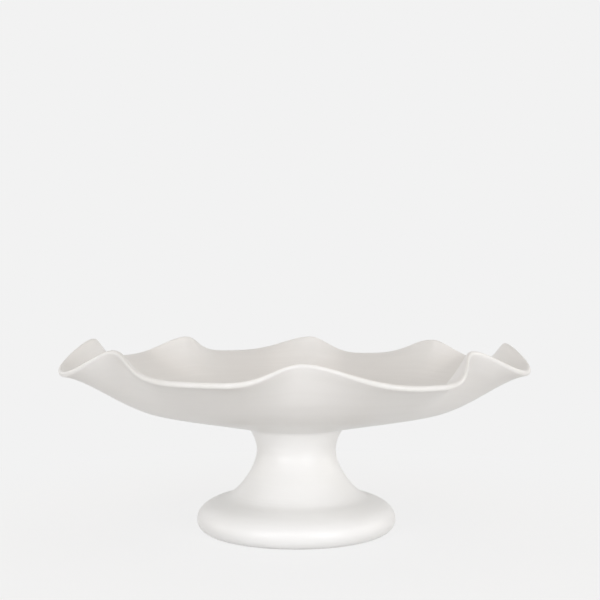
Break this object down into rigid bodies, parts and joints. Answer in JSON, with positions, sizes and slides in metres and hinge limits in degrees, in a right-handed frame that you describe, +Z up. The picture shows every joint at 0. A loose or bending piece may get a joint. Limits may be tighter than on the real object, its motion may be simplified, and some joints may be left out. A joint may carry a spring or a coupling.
{
  "type": "pedestal cake stand",
  "caption": "White glazed ceramic cake stand: a wide shallow plate with a deeply ruffled rim on a hollow, flared pedestal foot.",
  "frame": {"origin": "centre of the foot ring, on the surface that the stand rests on", "axes": "+Z up along the stand's axis, from the foot through the well of the plate; +X towards the user's right and +Y away from the user, with rim crests near +X and -Y"},
  "size_m": [0.2847, 0.2952, 0.1212],
  "materials": {
    "plate_glaze": "gloss",
    "pedestal_glaze": "gloss",
    "slip_glaze": "gloss"
  },
  "bodies": {
    "root": {"ruffled_plate": "plate_glaze", "pedestal": "pedestal_glaze", "joint_slip": "slip_glaze"}
  },
  "joints": []
}
